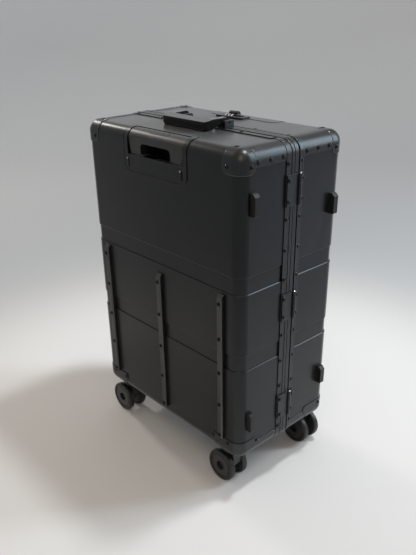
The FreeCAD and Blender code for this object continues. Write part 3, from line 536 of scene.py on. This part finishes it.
def groove_rubber(bm):
    """Flat black ring at the bottom of the groove: painted shade that makes the groove read dark."""
    half = groove_path()
    mirror = [(Vector((2 * middle_x - p.x, p.y, p.z)), n) for p, n in half[1:-1]]
    path = half + mirror[::-1]
    loops = []
    for k, (place, normal) in enumerate(path):
        along = path[(k + 1) % len(path)][0] - path[k - 1][0]
        side = along.cross(normal).normalized() * groove_width * shade_strip_half_share
        deep, shallow = normal * groove_floor, normal * (groove_floor - groove_shade_thickness)
        corners = ((-1, deep), (1, deep), (1, shallow), (-1, shallow))
        loops.append([bm.verts.new(place + s * side - d) for s, d in corners])
    for k, low in enumerate(loops):
        high = loops[(k + 1) % len(loops)]
        for i in range(len(low)):
            bm.faces.new((low[i], low[i - 1], high[i - 1], high[i]))


def housing_seal():
    """Black strips in the groove around the trolley housing and at the bottom of its slots: painted shade for
    these gaps.
    """
    bm = bmesh.new()
    groove_rubber(bm)
    for sign in (-1, 1):
        x = middle_x + sign * (housing_half_width - slot_inset)
        centre = Vector((x, back + slot_floor - slot_shade_thickness / 2, top - sum(slot_drops) / 2))
        size = Matrix.Diagonal((slot_width, slot_shade_thickness, slot_drops[1] - slot_drops[0], 1))
        bmesh.ops.create_cube(bm, size=1, matrix=Matrix.Translation(centre) @ size)
    # In the seal's black rubber finish: painted shade in the groove and the slots
    add_piece("housing_seal", finish_mesh(bm, "housing_seal", smooth=False), "rear_case", "seal")


# Digits on the number wheels
dial_flats = 10
digit_size = 0.0050
digit_weight = 0.00034
digit_stretch = 1.3
digit_lift = 0.00005
digit_grain = 900
digit_roughness = 0.5


def digit_paint():
    """Nearly white paint."""
    paint, tree, shader = node_material("digit_paint")
    colour = clouds(tree, digit_grain, grain_detail, grey(0.84), grey(0.92))
    tree.links.new(colour, shader.inputs["Base Color"])
    shader.inputs["Roughness"].default_value = digit_roughness
    return paint


def digit_mesh(digit, place):
    """Mesh of one digit, centred on its own box, widened and put in its place."""
    text = bpy.data.curves.new("digit", "FONT")
    text.body = str(digit)
    text.size = digit_size
    text.offset = digit_weight
    text.align_x = "CENTER"
    text.align_y = "CENTER"
    holder = bpy.data.objects.new("digit", text)
    flat = bpy.data.meshes.new_from_object(holder)
    bpy.data.objects.remove(holder)
    bpy.data.curves.remove(text)
    points = [v.co for v in flat.vertices]
    middle = Vector([(min(p[k] for p in points) + max(p[k] for p in points)) / 2 for k in range(3)])
    wider = Matrix.Diagonal((digit_stretch, 1, 1, 1)) @ Matrix.Translation(-middle)
    flat.transform(place @ wider)
    return flat


def dial_digits():
    """A plain digit on each flat of the three number wheels."""
    paint = digit_paint()
    for number, body in enumerate(("dial_one", "dial_two", "dial_three"), start=1):
        low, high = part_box("lock_dial_%d" % number)
        radius = (high.y - low.y) / 2 * math.cos(math.pi / dial_flats)
        bm = bmesh.new()
        for digit in range(dial_flats):
            angle = 2 * math.pi * (digit + 0.5) / dial_flats - quarter_turn
            spin = Matrix.Translation((low + high) / 2) @ Matrix.Rotation(angle, 4, "X")
            flat = digit_mesh(digit, spin @ Matrix.Translation((0, 0, radius + digit_lift)))
            bm.from_mesh(flat)
            bpy.data.meshes.remove(flat)
        name = "dial_digits_%d" % number
        add_piece(name, finish_mesh(bm, name, smooth=False), body, "black_plastic", paint)


# Fabric linings: a fold is the scale of its noise and its depth
lining_step = 0.012
lining_slack = 0.0009
lining_folds = ((14.0, 0.0012), (38.0, 0.0005))
smoothing_rounds = 8
smoothing_share = 0.5


def joined_faces(bm):
    """The faces of a mesh, in sets that hang together."""
    skins = []
    left_over = set(bm.faces)
    while left_over:
        skin, queue = set(), [left_over.pop()]
        while queue:
            face = queue.pop()
            skin.add(face)
            linked = {f for e in face.edges for f in e.link_faces} & left_over
            left_over -= linked
            queue += linked
        skins.append(skin)
    return skins


def width_of(faces):
    """Reach of some faces along X."""
    across = [v.co.x for f in faces for v in f.verts]
    return max(across) - min(across)


def inner_skin(node):
    """The side of a lining that looks into the case, which is the narrower one, without its rim."""
    bm = bmesh.new()
    bm.from_mesh(frame["nodes"][node].data)
    bmesh.ops.remove_doubles(bm, verts=bm.verts, dist=weld_gap)
    low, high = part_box(node)
    rim = high.y if node.startswith("rear") else low.y
    rim_faces = [f for f in bm.faces if max(abs(v.co.y - rim) for v in f.verts) < weld_gap]
    bmesh.ops.delete(bm, geom=rim_faces, context="FACES")
    keep = min(joined_faces(bm), key=width_of)
    bmesh.ops.delete(bm, geom=[f for f in bm.faces if f not in keep], context="FACES")
    return bm


def cut_grid(bm, low, high, step):
    """Cut a skin along planes a step apart, so that it can drape."""
    for axis in range(3):
        normal = Vector([float(axis == k) for k in range(3)])
        cuts = int((high[axis] - low[axis]) / step)
        for k in range(1, cuts + 1):
            everything = bm.verts[:] + bm.edges[:] + bm.faces[:]
            bmesh.ops.bisect_plane(bm, geom=everything, plane_co=low + normal * step * k, plane_no=normal,
                                   dist=weld_gap)


def drape(bm):
    """Let a skin span the corners loosely and lie in shallow folds; its boundary stays."""
    start = {v: (v.co.copy(), v.normal.copy()) for v in bm.verts}
    loose = [v for v in bm.verts if not v.is_boundary]
    for _ in range(smoothing_rounds):
        bmesh.ops.smooth_vert(bm, verts=loose, factor=smoothing_share,
                              use_axis_x=True, use_axis_y=True, use_axis_z=True)
    for v in loose:
        place, normal = start[v]
        inward = (v.co - place).dot(normal)
        v.co += normal * max(0.0, -lining_slack - inward)
        folds = [(1 + solid_noise.noise(place * scale)) / 2 * depth for scale, depth in lining_folds]
        v.co += normal * sum(folds)


def lining_cloth(half):
    """Fabric over the inside of one shell."""
    node = half + "_lining"
    name = half + "_lining_cloth"
    low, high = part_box(node)
    bm = inner_skin(node)
    cut_grid(bm, low, high, lining_step)
    bm.normal_update()
    drape(bm)
    bmesh.ops.triangulate(bm, faces=bm.faces)
    cloth = add_piece(name, finish_mesh(bm, name), half + "_case", "lining")
    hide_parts(node)


# Studio: a round floor that bends up into a wall
floor_rings = (1.0, 2.5)
floor_radius = 3.0
wall_bend = 2.0
wall_height = 5.0
room_radius = floor_radius + wall_bend
room_sides = 64

# Studio paint: how pale it is at each distance from the middle of the floor, and a bluish tint further out.
# The paleness is painted light: a pale pool of light near the case, painted shade in a ring around it, and
# paler walls further out that make up for the fall of the lamps' light
painted_light_by_distance = ((0.0, 0.73), (0.55, 0.74), (0.75, 0.70), (0.95, 0.56), (1.15, 0.47),
                     (1.5, 0.43), (2.4, 0.50), (3.4, 0.59), (4.2, 0.65), (4.9, 0.77))
tint_start = 1.1
far_tint = 0.035
paint_roughness = 0.8
paint_specular = 0.2

# Studio light: the sky, and each lamp's place, size, watts and colour
sky_colour = (1.0, 0.89, 0.80)
sky_strength = 0.47
lamp_aim = Vector((0, 0, 0.4))
lamps = {
    "window_lamp": ((1.55, 2.15, 1.85), (0.5, 2.4), 47, (0.76, 0.90, 1.0)),
    "overhead_lamp": ((0.45, 0.75, 2.8), (0.25, 0.25), 32, (0.97, 0.99, 1.0)),
    "back_lamp": ((-2.6, 2.3, 2.2), (3.4, 2.2), 6, (0.96, 0.98, 1.0)),
    "side_lamp": ((-2.9, 0.0, 2.3), (0.3, 0.3), 25, (1.0, 0.94, 0.86)),
    "front_lamp": ((1.44, -1.54, 2.5), (1.0, 1.6), 11, (1.0, 0.78, 0.54)),
}


def studio_paint():
    """Paint whose paleness goes by the distance from the middle of the floor, as painted light and shade
    around the case.
    """
    material, tree, shader = node_material("studio_paint")
    place = tree.nodes.new("ShaderNodeTexCoord")
    far = add_node(tree, "ShaderNodeVectorMath", operation="LENGTH")
    tree.links.new(place.outputs["Object"], far.inputs[0])
    share = add_node(tree, "ShaderNodeMath", operation="DIVIDE")
    share.inputs[1].default_value = room_radius
    tree.links.new(far.outputs["Value"], share.inputs[0])
    ramp = tree.nodes.new("ShaderNodeValToRGB")
    ramp.color_ramp.interpolation = "B_SPLINE"
    stops = ramp.color_ramp.elements
    for distance, _ in painted_light_by_distance[1:-1]:
        stops.new(distance / room_radius)
    for stop, (distance, value) in zip(stops, painted_light_by_distance):
        stop.position = distance / room_radius
        stop.color = (*grey(value, far_tint if distance > tint_start else 0.0), 1)
    tree.links.new(share.outputs["Value"], ramp.inputs["Fac"])
    tree.links.new(ramp.outputs["Color"], shader.inputs["Base Color"])
    shader.inputs["Roughness"].default_value = paint_roughness
    shader.inputs["Specular IOR Level"].default_value = paint_specular
    return material


def studio_floor():
    """Pale floor that curves up into a wall all round."""
    profile = [(radius, 0.0) for radius in floor_rings]
    for a in sweep(quarter_turn):
        profile.append((floor_radius + wall_bend * math.sin(a), wall_bend - wall_bend * math.cos(a)))
    profile.append((room_radius, wall_height))
    bm = bmesh.new()
    loops = []
    for radius, height in profile:
        loops.append([bm.verts.new((x, y, height)) for x, y in circle(radius, room_sides)])
    hub = bm.verts.new((0, 0, 0))
    join_loops(bm, loops[0], [hub])
    for low, high in zip(loops, loops[1:]):
        join_loops(bm, low, high)
    floor = bpy.data.objects.new("studio_floor", finish_mesh(bm, "studio_floor"))
    bpy.context.scene.collection.objects.link(floor)
    floor.data.materials.append(studio_paint())


def sky():
    """Warm light from all round."""
    world = bpy.data.worlds.new("soft_sky")
    bpy.context.scene.world = world
    world.use_nodes = True
    background = world.node_tree.nodes["Background"]
    background.inputs["Color"].default_value = (*sky_colour, 1)
    background.inputs["Strength"].default_value = sky_strength


def lamp(name, place, size, watts, colour):
    """Soft rectangular lamp that looks at the case and isn't seen itself."""
    data = bpy.data.lights.new(name, "AREA")
    data.shape = "RECTANGLE"
    data.size, data.size_y = size
    data.energy = watts
    data.color = colour
    holder = bpy.data.objects.new(name, data)
    holder.location = place
    aim = lamp_aim - Vector(place)
    holder.rotation_euler = aim.to_track_quat("-Z", "Y").to_euler()
    holder.visible_camera = False
    bpy.context.scene.collection.objects.link(holder)


# Camera at the photograph's viewing angle
camera_place = Vector((0.9925, -0.8904, 0.9782))
camera_target = Vector((0.0532, -0.0652, 0.3483))
camera_roll = math.radians(-1.19)
camera_lens = 40.81
camera_sensor = 36.0
camera_shift = (0.0108, 0.0656)


def camera():
    """Camera that sees the case as the photograph does."""
    data = bpy.data.cameras.new("camera")
    data.lens = camera_lens
    data.sensor_width = camera_sensor
    data.shift_x, data.shift_y = camera_shift
    holder = bpy.data.objects.new("camera", data)
    look = (camera_target - camera_place).to_track_quat("-Z", "Y").to_matrix().to_4x4()
    holder.matrix_world = Matrix.Translation(camera_place) @ look @ Matrix.Rotation(camera_roll, 4, "Z")
    bpy.context.scene.collection.objects.link(holder)
    bpy.context.scene.camera = holder


dress_cad()
frame_rivets()
trim_rivets()
rail_screws()
pin_heads()
housing_screws()
housing_seal()
dial_digits()
for half in ("rear", "front"):
    lining_cloth(half)
studio_floor()
sky()
for name, settings in lamps.items():
    lamp(name, *settings)
camera()
bpy.context.scene.view_settings.view_transform = "Standard"
